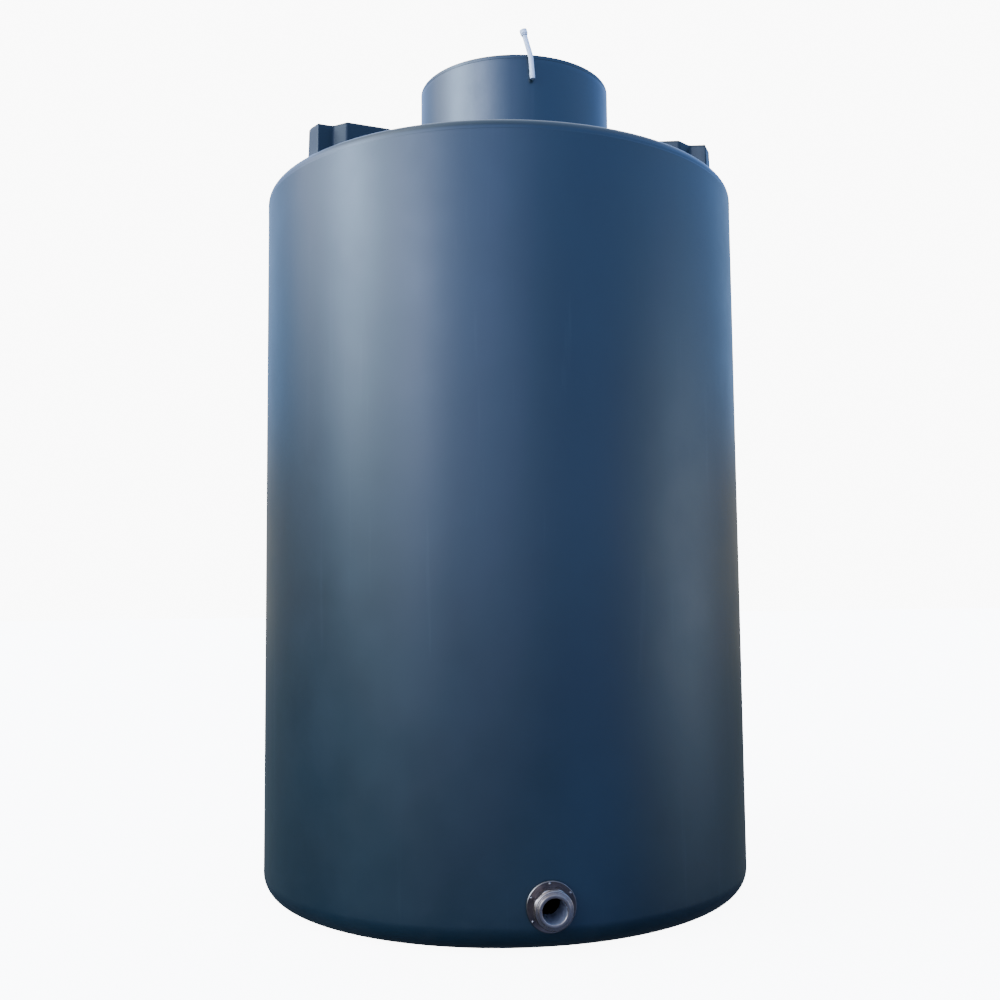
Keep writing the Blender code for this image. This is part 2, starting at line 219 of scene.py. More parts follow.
# Radius and height of the points down the cap's grooved side, and down its neck
CAP_SIDE = ((0.0125, 0.0150), (0.0121, 0.0145), (0.0125, 0.0140), (0.0125, 0.0068))
CAP_NECK = ((0.0104, 0.0048), (0.0111, 0.0040), (0.0113, 0.0022), (0.0106, 0.0006), (0.0, 0.0006))

# Angles in degrees past which an edge stays sharp
EDGE_ANGLE = 35.0
BODY_ANGLE = 40.0
LUG_ANGLE = 45.0
NUT_ANGLE = 22.0
SLEEVE_ANGLE = 32.0

# Painted highlight on the neck: a pale mottled patch at its left front, where the lights fall
NECK_HIGHLIGHT_AZIMUTH = -35.0
NECK_HIGHLIGHT_REACH = 0.14
NECK_HIGHLIGHT_STRENGTH = 0.44
NECK_HIGHLIGHT_FOOT = SHOULDER_TOP + 0.10
NECK_HIGHLIGHT_FULL = SHOULDER_TOP + 0.16

# Colours
NAVY = (0.0036, 0.0117, 0.0165)
STREAK_TONE = (0.150, 0.175, 0.205)
SCUFF_TONE = (0.190, 0.215, 0.245)
DUST_TONE = (0.210, 0.215, 0.200)
NECK_HIGHLIGHT_TONE = (0.225, 0.230, 0.225)
SPLASH_TONE = (0.170, 0.155, 0.135)
GRIME_TONE = (0.075, 0.072, 0.080)
SPLASH_HEIGHT = 0.16
SPLASH_STRENGTH = 0.04

# Camera solved from the photograph: turned to the left of the outlet, lens a touch off the middle
CAMERA_TURN = 8.725
CAMERA_DISTANCE = 3.8995
CAMERA_HEIGHT = 0.9885
CAMERA_YAW = 0.2638
CAMERA_PITCH = 4.6091
CAMERA_ROLL = -0.5648
CAMERA_LENS = 39.855
CAMERA_SENSOR = 36.0
CAMERA_REACH = 200.0
CAMERA_SHIFT_X = -0.00699
CAMERA_SHIFT_Y = 0.000385

# Floor and light
FLOOR_REACH = 40.0
FLOOR_DROP = 0.0005
BACKDROP = 10.0
FLOOR_GLOW = 8.8
# Belts of light all the way round: the sines of elevation between which each one rises and fades, colour
BELTS = (
    ((-1.20, -1.10, -0.35, -0.20), (0.054, 0.070, 0.100)),
    ((-0.35, -0.20, -0.10, 0.00), (0.136, 0.167, 0.170)),
    ((-0.10, 0.00, 0.08, 0.20), (0.417, 0.407, 0.343)),
    ((0.08, 0.20, 0.30, 0.45), (0.398, 0.764, 1.489)),
    ((0.30, 0.45, 0.60, 0.80), (0.365, 0.835, 2.219)),
)
# Soft lights: azimuth from -Y towards +X, elevation, tightness, extra flatness, colour
SOFT_LIGHTS = (
    (-81.0, 22.0, 54.0, 0.0, (11.19, 15.25, 21.23)),
    (-49.0, 19.0, 35.0, 0.0, (6.15, 7.50, 11.70)),
    (-137.0, 34.0, 40.0, 0.0, (0.80, 0.80, 0.70)),
    (-110.0, 24.0, 42.0, 0.0, (2.69, 2.84, 3.31)),
    (-65.0, 21.0, 18.0, 0.0, (1.40, 1.68, 1.20)),
    (-16.0, 16.0, 18.0, 0.0, (1.57, 2.11, 3.87)),
    (30.0, 0.0, 12.0, 0.0, (0.21, 0.41, 1.23)),
    (79.0, 2.0, 12.0, 25.0, (1.74, 2.25, 2.90)),
    (-90.0, 40.0, 15.0, 0.0, (4.85, 5.67, 6.78)),
    (-60.0, 60.0, 8.0, 0.0, (1.44, 1.68, 2.04)),
    (60.0, 60.0, 8.0, 0.0, (0.72, 1.10, 2.00)),
    (180.0, 50.0, 8.0, 0.0, (1.60, 1.90, 2.40)),
)

FULL = 2 * math.pi
WELD = 0.000005


# Meshes

def new_object(name, verts, faces, sharp_angle=EDGE_ANGLE):
    mesh = bpy.data.meshes.new(name)
    mesh.from_pydata([tuple(v) for v in verts], [], faces)
    work = bmesh.new()
    work.from_mesh(mesh)
    bmesh.ops.remove_doubles(work, verts=work.verts, dist=WELD)
    bmesh.ops.recalc_face_normals(work, faces=work.faces)
    work.to_mesh(mesh)
    work.free()
    smooth(mesh, sharp_angle)
    item = bpy.data.objects.new(name, mesh)
    bpy.context.scene.collection.objects.link(item)
    return item


def smooth(mesh, sharp_angle):
    mesh.shade_smooth()
    mesh.set_sharp_from_angle(angle=math.radians(sharp_angle))


def skin_rings(rings, loop_rows=False):
    """Joins rings of equal length into quads; a ring of one point is a pole."""
    verts = []
    starts = []
    for ring in rings:
        starts.append(len(verts))
        verts.extend(ring)
    faces = []
    pairs = list(zip(range(len(rings)), range(1, len(rings))))
    if loop_rows:
        pairs.append((len(rings) - 1, 0))
    for a, b in pairs:
        count = max(len(rings[a]), len(rings[b]))
        for i in range(count):
            j = (i + 1) % count
            quad = []
            for row, col in ((a, i), (a, j), (b, j), (b, i)):
                index = starts[row] + (col if len(rings[row]) > 1 else 0)
                if index not in quad:
                    quad.append(index)
            if len(quad) > 2:
                faces.append(quad)
    return verts, faces


def turned_ring(radius, height, steps):
    if radius == 0.0:
        return [Vector((0.0, 0.0, height))]
    ring = []
    for i in range(steps):
        angle = FULL * i / steps
        ring.append(Vector((radius * math.cos(angle), radius * math.sin(angle), height)))
    return ring


def turned(name, profile, steps, closed=True, sharp_angle=EDGE_ANGLE):
    """Turns (radius, height) points about Z; a radius of zero is a pole."""
    rings = [turned_ring(radius, height, steps) for radius, height in profile]
    verts, faces = skin_rings(rings, closed)
    return new_object(name, verts, faces, sharp_angle)


def aim_at_outlet(item):
    """Lays a piece turned about Z along -Y at the outlet's height."""
    item.rotation_euler = (math.radians(90.0), 0.0, 0.0)
    item.location = (0.0, 0.0, OUTLET_HEIGHT)


def arc(centre, radius, start, end, steps):
    points = []
    for i in range(steps + 1):
        a = math.radians(start + (end - start) * i / steps)
        points.append((centre[0] + radius * math.cos(a), centre[1] + radius * math.sin(a)))
    return points


def finish_piece(item, nodes=()):
    if nodes:
        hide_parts(*nodes)
    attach(item, "root")


def numbered(stem, count):
    return ["%s_%02d" % (stem, i + 1) for i in range(count)]


# Shape of the deck, shared by the body and the feet of the lugs

SHOULDER_EDGE = TANK_RADIUS - SHOULDER_FILLET
SHOULDER_END = 90.0 - math.degrees(math.atan(DECK_SLOPE))
CONE_RADIUS = SHOULDER_EDGE + SHOULDER_FILLET * math.cos(math.radians(SHOULDER_END))
CONE_FOOT = SHOULDER_TOP - SHOULDER_FILLET * (1.0 - math.sin(math.radians(SHOULDER_END)))


def deck_height(radius):
    if radius > CONE_RADIUS:
        inside = SHOULDER_FILLET ** 2 - (radius - SHOULDER_EDGE) ** 2
        return SHOULDER_TOP - SHOULDER_FILLET + math.sqrt(max(inside, 0.0))
    return CONE_FOOT + DECK_SLOPE * (CONE_RADIUS - radius)


def one_wave(x, y, z, wave_form):
    around, up, start = wave_form
    return noise.noise(Vector((x * around, y * around, z * up + start)))


def wave(x, y, z):
    """Slow unevenness of a moulded wall."""
    return WAVE_DEPTH * (one_wave(x, y, z, SLOW_WAVE) + QUICK_SHARE * one_wave(x, y, z, QUICK_WAVE))


def circle_row(radius, height, centre_x=0.0, uneven=False):
    row = []
    for i in range(COLUMNS):
        a = FULL * i / COLUMNS
        x, y = math.cos(a), math.sin(a)
        r = radius
        if uneven:
            r += wave(x * radius, y * radius, height)
        row.append(Vector((centre_x + r * x, r * y, height)))
    return row


def deck_row(share):
    """A row between the shoulder (share 0) and the neck's foot (1); its wave fades at both ends."""
    row = []
    outer = CONE_RADIUS
    inner = NECK_RADIUS + NECK_FILLET
    for i in range(COLUMNS):
        a = FULL * i / COLUMNS
        radius = outer + (inner - outer) * share
        x = NECK_X * share + radius * math.cos(a)
        y = radius * math.sin(a)
        z = deck_height(math.hypot(x, y))
        row.append(Vector((x, y, z + wave(x, y, z) * share * (1 - share) * 4)))
    return row


def neck_slope(angle):
    """Slope of the deck away from the neck, along a line out of the neck's axis."""
    foot = NECK_RADIUS + NECK_FILLET
    x, y = NECK_X + foot * math.cos(angle), foot * math.sin(angle)
    return DECK_SLOPE * (x * math.cos(angle) + y * math.sin(angle)) / math.hypot(x, y)


def neck_fillet(angle, share, inward=0.0):
    """A concave round between the deck and the neck, tangent to both: radius and height."""
    lean = math.atan(neck_slope(angle))
    centre = NECK_RADIUS + NECK_FILLET
    x, y = NECK_X + centre * math.cos(angle), centre * math.sin(angle)
    height = deck_height(math.hypot(x, y)) + NECK_FILLET / math.cos(lean)
    turn = -(math.pi / 2 + lean) - (math.pi / 2 - lean) * share
    bend = NECK_FILLET + inward
    return centre + bend * math.cos(turn), height + bend * math.sin(turn)


def neck_fillet_row(share, inward=0.0):
    row = []
    for i in range(COLUMNS):
        a = FULL * i / COLUMNS
        radius, height = neck_fillet(a, share, inward)
        row.append(Vector((NECK_X + radius * math.cos(a), radius * math.sin(a), height)))
    return row


def neck_row(share, top):
    """Rows up the neck, from the top of its fillet to its rim."""
    row = []
    for i in range(COLUMNS):
        a = FULL * i / COLUMNS
        ground = neck_fillet(a, 1.0)[1]
        z = ground + (top - ground) * share
        r = NECK_RADIUS + wave(NECK_WAVE_START + math.cos(a), math.sin(a), z) * NECK_WAVE_SHARE * share
        row.append(Vector((NECK_X + r * math.cos(a), r * math.sin(a), z)))
    return row


def parting_line(height):
    """The faint ledge where the mould's two halves met: a slow rise below it, a short fall above."""
    reach = PARTING_FALL if height > PARTING_HEIGHT else PARTING_RISE
    near = (height - PARTING_HEIGHT) / reach
    return PARTING_RELIEF * math.exp(-near * near)


def inset_row(row):
    """The inside of the deck: the same row, a wall's thickness lower and further in."""
    moved = []
    for point in row:
        length = math.hypot(point.x, point.y)
        scale = (length - DECK_INSET) / length
        moved.append(Vector((point.x * scale, point.y * scale, point.z - WALL)))
    return moved


# Body

def outer_rows():
    """From the middle of the floor, up the wall and over the shoulder to the foot of the neck."""
    rows = [[Vector((0.0, 0.0, 0.0))]]
    for radius in FLOOR_RINGS:
        rows.append(circle_row(radius, 0.0))
    centre = (TANK_RADIUS - BASE_KNUCKLE, BASE_KNUCKLE)
    for radius, height in arc(centre, BASE_KNUCKLE, -90.0, 0.0, KNUCKLE_STEPS):
        rows.append(circle_row(radius, max(height, 0.0)))
    ledge = PARTING_HEIGHT - LEDGE_BELOW
    for i in range(1, WALL_ROWS):
        height = BASE_KNUCKLE + (ledge - BASE_KNUCKLE) * i / WALL_ROWS
        rows.append(circle_row(TANK_RADIUS, height, uneven=True))
    for i in range(LEDGE_ROWS + 1):
        height = ledge + LEDGE_SPAN * i / LEDGE_ROWS
        rows.append(circle_row(TANK_RADIUS + parting_line(height), height))
    centre = (SHOULDER_EDGE, SHOULDER_TOP - SHOULDER_FILLET)
    for radius, height in arc(centre, SHOULDER_FILLET, SHOULDER_START, SHOULDER_END, SHOULDER_STEPS):
        rows.append(circle_row(radius, height))
    for i in range(1, DECK_ROWS):
        rows.append(deck_row(i / DECK_ROWS))
    return rows


def neck_rows():
    """Up the neck, over its rim and down its inside."""
    rows = [neck_fillet_row(i / FILLET_STEPS) for i in range(FILLET_STEPS + 1)]
    rim = NECK_TOP - LID_THICKNESS - LID_GAP
    for i in range(1, NECK_ROWS):
        rows.append(neck_row(i / NECK_ROWS, rim - RIM_ROUND))
    centre = (NECK_RADIUS - RIM_ROUND, rim - RIM_ROUND)
    for radius, height in arc(centre, RIM_ROUND, 0.0, 90.0, EDGE_STEPS):
        rows.append(circle_row(radius, height, NECK_X))
    inner = NECK_RADIUS - WALL
    rows.append(circle_row(inner + RIM_BREAK, rim, NECK_X))
    for height in (rim - RIM_BREAK, *INNER_NECK_HEIGHTS):
        rows.append(circle_row(inner, height, NECK_X))
    for i in range(INNER_FILLET_STEPS, -1, -1):
        rows.append(neck_fillet_row(i / INNER_FILLET_STEPS, WALL))
    return rows


def inner_rows():
    """The inside, from the foot of the neck down to the middle of the floor."""
    rows = []
    for i in range(INNER_DECK_ROWS - 1, -1, -1):
        rows.append(inset_row(deck_row(i / INNER_DECK_ROWS)))
    inner = TANK_RADIUS - WALL
    for height in (SHOULDER_TOP - SHOULDER_FILLET, *INNER_WALL_HEIGHTS):
        rows.append(circle_row(inner, height))
    centre = (TANK_RADIUS - BASE_KNUCKLE, BASE_KNUCKLE)
    for radius, height in arc(centre, BASE_KNUCKLE - WALL, 0.0, -90.0, INNER_KNUCKLE_STEPS):
        rows.append(circle_row(radius, height))
    rows.append(circle_row(INNER_FLOOR_RING, WALL))
    rows.append([Vector((0.0, 0.0, WALL))])
    return rows


def build_body():
    verts, faces = skin_rings(outer_rows() + neck_rows() + inner_rows())
    body = new_object("tank_body", verts, faces, BODY_ANGLE)
    drill_outlet(body)
    solids = ["tank_floor", "wall_outlet_panel"] + numbered("wall_segment", 12)
    solids += numbered("deck_segment", 8) + numbered("neck_segment", 6)
    finish_piece(body, solids)
    return body


def drill_outlet(body):
    """Cuts the outlet's hole through the wall."""
    profile = [(0.0, DRILL_FRONT), (HOLE_RADIUS, DRILL_FRONT), (HOLE_RADIUS, DRILL_BACK), (0.0, DRILL_BACK)]
    cutter = turned("outlet_drill", profile, DRILL_STEPS, closed=False)
    aim_at_outlet(cutter)
    boolean = body.modifiers.new("outlet", "BOOLEAN")
    boolean.operation = "DIFFERENCE"
    boolean.solver = "EXACT"
    boolean.object = cutter
    graph = bpy.context.evaluated_depsgraph_get()
    mesh = bpy.data.meshes.new_from_object(body.evaluated_get(graph))
    body.modifiers.clear()
    body.data = mesh
    smooth(mesh, BODY_ANGLE)
    bpy.data.objects.remove(cutter, do_unlink=True)


# Lid

def build_lid():
    """Flat cover with a shallow ring groove, and a ring below that sits in the neck."""
    under = NECK_TOP - LID_THICKNESS
    outer = NECK_RADIUS - WALL - REGISTER_GAP
    inner = outer - REGISTER_WIDTH
    low = under - REGISTER_DEPTH
    profile = [(0.0, NECK_TOP - LID_DISH), (LID_DISH_RADIUS, NECK_TOP - LID_DISH)]
    profile += [(radius, NECK_TOP - depth) for radius, depth in (*LID_GROOVE, LID_BROW)]
    profile += arc((NECK_RADIUS - LID_EDGE, NECK_TOP - LID_EDGE), LID_EDGE, 90.0, 0.0, EDGE_STEPS + 1)
    profile += arc((NECK_RADIUS - RIM_ROUND, under + RIM_ROUND), RIM_ROUND, 0.0, -90.0, EDGE_STEPS)
    profile += [(outer, under), (outer, low + RIM_BREAK), (outer - RIM_BREAK, low)]
    profile += [(inner + RIM_BREAK, low), (inner, under), (0.0, under)]
    lid = turned("neck_lid", profile, LID_COLUMNS, closed=False)
    lid.location.x = NECK_X
    finish_piece(lid, ["manway_lid"])
    return lid


# Lugs

def corner_arc(first, last, centre, radius):
    """Points with outward normals round one corner of an outline."""
    start = math.atan2(first.y - centre.y, first.x - centre.x)
    sweep = math.atan2(last.y - centre.y, last.x - centre.x) - start
    sweep = (sweep + math.pi) % FULL - math.pi
    points = []
    for k in range(LUG_CORNER_STEPS + 1):
        angle = start + sweep * k / LUG_CORNER_STEPS
        ray = Vector((math.cos(angle), math.sin(angle)))
        points.append((centre + ray * radius, ray if sweep > 0 else -ray))
    return points


def rounded_outline(corners):
    """Points with outward normals round a polygon whose corners carry a radius."""
    count = len(corners)
    ends = []
    for i in range(count):
        before, here, after = (Vector(corners[(i + k) % count][0]) for k in (-1, 0, 1))
        radius = corners[i][1]
        a = (before - here).normalized()
        b = (after - here).normalized()
        half = math.acos(max(-1.0, min(1.0, a.dot(b)))) / 2
        reach = radius / math.tan(half)
        centre = here + (a + b).normalized() * (radius / math.sin(half))
        ends.append((here + a * reach, here + b * reach, centre, radius))
    points = []
    for i in range(count):
        points.extend(corner_arc(*ends[i]))
        last = ends[i][1]
        run = ends[(i + 1) % count][0] - last
        normal = Vector((run.y, -run.x)).normalized()
        pieces = max(1, int(run.length / LUG_OUTLINE_STEP))
        for k in range(1, pieces):
            points.append((last + run * k / pieces, normal))
    return points


def lug_outline():
    half = [((LUG_TIP, TONGUE_HALF), TONGUE_CORNER), ((LUG_STEP, TONGUE_HALF), TONGUE_ROOT),
            ((LUG_CHEEK, BLOCK_HALF), BLOCK_CORNER), ((LUG_HEEL, BLOCK_HALF), HEEL_CORNER)]
    return rounded_outline(half + [((x, -y), radius) for (x, y), radius in reversed(half)])


def lug_top(x):
    return LUG_TIP_TOP + LUG_SLOPE * (LUG_TIP - x)


def tip_flare(place, normal, height):
    """The tongue's outer face spreads into the shoulder at its foot."""
    if height > LUG_FLARE_REACH or normal.x < LUG_FLARE_FACING or place.x < LUG_STEP:
        return 0.0
    return LUG_FLARE * normal.x * (1.0 - height / LUG_FLARE_REACH) ** 2


def lug_foot_ring(outline, share):
    """A ring of the flared foot, from the deck at share 0 to the foot's top at 1."""
    turn = math.radians(90.0 * share)
    ring = []
    for place, normal in outline:
        height = LUG_BASE_FLARE * (1.0 - math.cos(turn))
        spread = LUG_BASE_FLARE * (1.0 - math.sin(turn)) + LUG_DRAFT + tip_flare(place, normal, height)
        p = place + normal * spread
        ring.append(Vector((p.x, p.y, deck_height(p.length) + height - LUG_SINK)))
    return ring


def lug_side_ring(outline, share):
    """A ring up the drafted sides, from the foot at share 0 to the top edge at 1."""
    ring = []
    for place, normal in outline:
        ground = deck_height(place.length)
        high = lug_top(place.x) - LUG_TOP_ROUND - ground
        height = LUG_BASE_FLARE + (high - LUG_BASE_FLARE) * share
        p = place + normal * (LUG_DRAFT * (1.0 - share) + tip_flare(place, normal, height))
        ring.append(Vector((p.x, p.y, ground + height)))
    return ring


def lug_top_ring(outline, share):
    """A ring of the rounded top edge, from the side at share 0 to the flat top at 1."""
    turn = math.radians(90.0 * share)
    ring = []
    for place, normal in outline:
        p = place - normal * (LUG_TOP_ROUND * (1.0 - math.cos(turn)))
        z = lug_top(p.x) - LUG_TOP_ROUND * (1.0 - math.sin(turn))
        ring.append(Vector((p.x, p.y, z)))
    return ring


def build_lug(number, azimuth):
    outline = lug_outline()
    rings = [lug_foot_ring(outline, i / LUG_FOOT_STEPS) for i in range(LUG_FOOT_STEPS + 1)]
    rings += [lug_side_ring(outline, i / LUG_SIDE_ROWS) for i in range(1, LUG_SIDE_ROWS + 1)]
    rings += [lug_top_ring(outline, i / EDGE_STEPS) for i in range(1, EDGE_STEPS + 1)]
    verts, faces = skin_rings(rings)
    count = len(outline)
    faces.append([len(verts) - count + i for i in range(count)])
    faces.append(list(range(count))[::-1])
    turn = Matrix.Rotation(math.radians(azimuth - 90.0), 4, "Z")
    lug = new_object("lug_%d" % number, [turn @ v for v in verts], faces, LUG_ANGLE)
    finish_piece(lug, ["lifting_lug_%02d" % number])
    return lug


# Outlet fitting

def wall_behind(x, z):
    """How far the gasket's back stands from the tank's axis, over the rounded base corner too."""
    reach = TANK_RADIUS
    if z < BASE_KNUCKLE:
        reach = TANK_RADIUS - BASE_KNUCKLE + math.sqrt(BASE_KNUCKLE ** 2 - (BASE_KNUCKLE - z) ** 2)
    return math.sqrt(reach ** 2 - x ** 2) - GASKET_SEAT


def gasket_ring(radius, distance=None):
    """A ring round the outlet at one distance, or against the wall."""
    ring = []
    for i in range(TURN_STEPS):
        angle = FULL * i / TURN_STEPS
        x = radius * math.cos(angle)
        z = OUTLET_HEIGHT + radius * math.sin(angle)
        ring.append(Vector((x, -(wall_behind(x, z) if distance is None else distance), z)))
    return ring


def build_gasket():
    """Rubber ring, its back fitted to the curve of the wall."""
    front = FLANGE_BACK - FIT
    front_rings = (HOLE_RADIUS, GASKET_FRONT_RING, GASKET_RADIUS - GASKET_BEVEL)
    rings = [gasket_ring(radius, front) for radius in front_rings]
    rings.append(gasket_ring(GASKET_RADIUS, front - GASKET_BEVEL))
    rings += [gasket_ring(radius) for radius in (GASKET_RADIUS, *GASKET_BACK_RINGS, HOLE_RADIUS)]
    verts, faces = skin_rings(rings, True)
    gasket = new_object("rubber_gasket", verts, faces)
    finish_piece(gasket, ["outlet_gasket"])
    return gasket


def build_flange():
    """Round flange with a thin raised lip at its bevelled edge."""
    profile = [(HOLE_RADIUS, FLANGE_FRONT)]
    profile += [(FLANGE_RADIUS - inset, FLANGE_FRONT + rise) for inset, rise in FLANGE_LIP]
    centre = (FLANGE_RADIUS - FLANGE_ROUND, FLANGE_BACK + FLANGE_ROUND)
    profile += arc(centre, FLANGE_ROUND, 0.0, -90.0, 3)
    profile += [(HOLE_RADIUS, FLANGE_BACK)]
    flange = turned("steel_flange", profile, FINE_STEPS)
    aim_at_outlet(flange)
    finish_piece(flange, ["outlet_flange"])
    return flange


def screw_ring(centre, radius, height, slot_angle):
    """A ring of one screw's head, sunk where the slot runs across it."""
    if radius == 0.0:
        return [Vector((*centre, FLANGE_FRONT + height))]
    ring = []
    for i in range(SCREW_STEPS):
        a = FULL * i / SCREW_STEPS
        slot = abs(math.sin(a - slot_angle)) < SCREW_SLOT and height > SCREW_SLOT_FLOOR
        level = FLANGE_FRONT + height - (SCREW_SLOT_DEPTH if slot else 0.0)
        ring.append(Vector((centre[0] + radius * math.cos(a), centre[1] + radius * math.sin(a), level)))
    return ring


def build_screws():
    """Small domed heads with a slot round the flange."""
    verts, faces = [], []
    for n in range(SCREW_COUNT):
        angle = math.radians(SCREW_FIRST + 360.0 * n / SCREW_COUNT)
        centre = (SCREW_CIRCLE * math.cos(angle), SCREW_CIRCLE * math.sin(angle))
        slot_angle = angle * SCREW_SLOT_TURN
        rings = [screw_ring(centre, radius, height, slot_angle) for radius, height in SCREW_DOME]
        head_verts, head_faces = skin_rings(rings)
        offset = len(verts)
        verts.extend(head_verts)
        faces.extend([[index + offset for index in face] for face in head_faces])
        faces.append([offset + i for i in range(SCREW_STEPS)][::-1])
    screws = new_object("flange_screws", verts, faces, BODY_ANGLE)
    aim_at_outlet(screws)
    finish_piece(screws)
    return screws


def nut_ring(reach, height):
    """One ring of the nut, no further out than reach."""
    count = NUT_SIDES * NUT_STEPS
    ring = []
    for i in range(count):
        angle = FULL * i / count
        local = (angle + math.pi / NUT_SIDES) % (FULL / NUT_SIDES) - math.pi / NUT_SIDES
        radius = min(NUT_FLAT / math.cos(local), reach)
        ring.append(Vector((radius * math.cos(angle), radius * math.sin(angle), height)))
    return ring


def build_nut():
    """Eight-sided nut, one flat facing up, whose corners are turned down."""
    back = FLANGE_FRONT + FIT
    levels = [(NUT_FLAT, back), (NUT_CORNER, back + NUT_RUNOUT)]
    levels += [(reach, NUT_FRONT - depth) for reach, depth in NUT_EDGE]
    levels += [(HOLE_RADIUS, NUT_FRONT), (HOLE_RADIUS, back)]
    rings = [nut_ring(reach, height) for reach, height in levels]
    verts, faces = skin_rings(rings, True)
    nut = new_object("steel_nut", verts, faces, NUT_ANGLE)
    aim_at_outlet(nut)
    finish_piece(nut, ["outlet_nut"])
    return nut


def collar_ribs(ridge, back):
    """Small grooves down the collar from the ridge to its back."""
    points = []
    while ridge - COLLAR_RIB > back:
        points += [(COLLAR_RADIUS, ridge), (COLLAR_RADIUS - RIB_DEPTH, ridge - RIB_DEPTH)]
        points += [(COLLAR_RADIUS, ridge - 2 * RIB_DEPTH)]
        ridge -= COLLAR_RIB
    return points


def build_sleeve():
    """Sleeve through the wall: plain bore, raised face ring, stepped front and a ribbed round collar."""
    face = SLEEVE_FRONT
    back = NUT_FRONT + FIT
    profile = [(BORE_RADIUS, face - BORE_LIP)]
    profile += arc((BORE_RADIUS + BORE_ROUND, face - BORE_ROUND), BORE_ROUND, 180.0, 90.0, 4)
    profile += arc((FACE_RADIUS - FACE_ROUND, face - FACE_ROUND), FACE_ROUND, 90.0, 0.0, 4)
    profile += [(FACE_RADIUS + out, COLLAR_FRONT + rise) for out, rise in FACE_STEP]
    profile += arc((STEP_RADIUS, COLLAR_FRONT + STEP_HEIGHT), STEP_HEIGHT, 90.0, 10.0, 3)
    profile += [(STEP_FOOT, COLLAR_FRONT)]
    centre = (COLLAR_RADIUS - COLLAR_ROUND, COLLAR_FRONT - COLLAR_ROUND)
    profile += arc(centre, COLLAR_ROUND, 90.0, 0.0, EDGE_STEPS)
    profile += collar_ribs(COLLAR_FRONT - COLLAR_ROUND - RIB_START, back)
    profile += [(COLLAR_RADIUS - inset, back + rise) for inset, rise in COLLAR_EDGE]
    profile += [(SLEEVE_RADIUS, back), (SLEEVE_RADIUS, SLEEVE_BACK + SLEEVE_CHAMFER)]
    profile += [(SLEEVE_RADIUS - SLEEVE_CHAMFER, SLEEVE_BACK)]
    profile += [(BORE_RADIUS + SLEEVE_CHAMFER, SLEEVE_BACK), (BORE_RADIUS, SLEEVE_BACK + SLEEVE_CHAMFER)]
    sleeve = turned("steel_sleeve", profile, FINE_STEPS, sharp_angle=SLEEVE_ANGLE)
    aim_at_outlet(sleeve)
    finish_piece(sleeve, ["outlet_sleeve"])
    return sleeve


# Breather tube

def eased(before, corner, after, share):
    """A point on the curve from before to after that bends towards the corner."""
    rest = 1 - share
    return Vector([rest ** 2 * p + 2 * share * rest * q + share * share * r
                   for p, q, r in zip(before, corner, after)])


def tube_route():
    """Even points along the tube, its bend eased."""
    before = [b + (f - b) * TUBE_EASE for b, f in zip(TUBE_BEND, TUBE_FOOT)]
    after = [b + (t - b) * TUBE_EASE for b, t in zip(TUBE_BEND, TUBE_TIP)]
    points = [Vector(TUBE_FOOT).lerp(Vector(before), share) for share in (0.0, 0.03, 0.5)]
    points += [eased(before, TUBE_BEND, after, i / BEND_STEPS) for i in range(BEND_STEPS + 1)]
    points.append(Vector(after).lerp(Vector(TUBE_TIP), 0.5))
    points.append(Vector(TUBE_TIP))
    return points


def tube_ring(centre, along, radius):
    side = Vector((along.y, -along.x))
    ring = []
    for i in range(TUBE_STEPS):
        a = FULL * i / TUBE_STEPS
        flat = centre + side * (radius * math.cos(a))
        ring.append(Vector((flat.x, TUBE_Y + radius * math.sin(a), flat.y)))
    return ring


def build_tube():
    """Hollow tube, slightly wider towards its top, its upper end covered by the cap."""
    route = tube_route()
    last = len(route) - 1
    aims = [(route[min(i + 1, last)] - route[max(i - 1, 0)]).normalized() for i in range(last + 1)]
    rings = []
    for i, (point, along) in enumerate(zip(route, aims)):
        radius = TUBE_RADIUS * (TUBE_SLIM + TUBE_SPREAD * i / last) - (TUBE_MOUTH if i == 0 else 0.0)
        rings.append(tube_ring(point, along, radius))
    inner = [tube_ring(point, along, TUBE_BORE) for point, along in zip(route, aims)]
    rings.extend(reversed(inner[:-1]))
    verts, faces = skin_rings(rings, True)
    tube = new_object("white_tube", verts, faces)
    finish_piece(tube, ["breather_tube"])
    return tube


def build_cap():
    """Round cap with a fine groove, a skirt and a narrow neck."""
    lean = math.atan2(TUBE_TIP[0] - TUBE_BEND[0], TUBE_TIP[1] - TUBE_BEND[1])
    profile = [(0.0, CAP_TOP), (CAP_TOP_RING, CAP_TOP)]
    profile += arc((CAP_RADIUS - CAP_ROUND, CAP_TOP - CAP_ROUND), CAP_ROUND, 90.0, 0.0, EDGE_STEPS)
    profile += CAP_SIDE
    profile += arc(CAP_HEM, CAP_HEM_ROUND, 0.0, -60.0, 3)
    profile += CAP_NECK
    cap = turned("white_cap", profile, CAP_STEPS, closed=False)
    cap.rotation_euler = (0.0, lean, 0.0)
    cap.location = (TUBE_TIP[0], TUBE_Y, TUBE_TIP[1])
    finish_piece(cap, ["tube_cap"])
    return cap


# Materials

def shaded(colour, factor):
    return tuple(part * factor for part in colour)


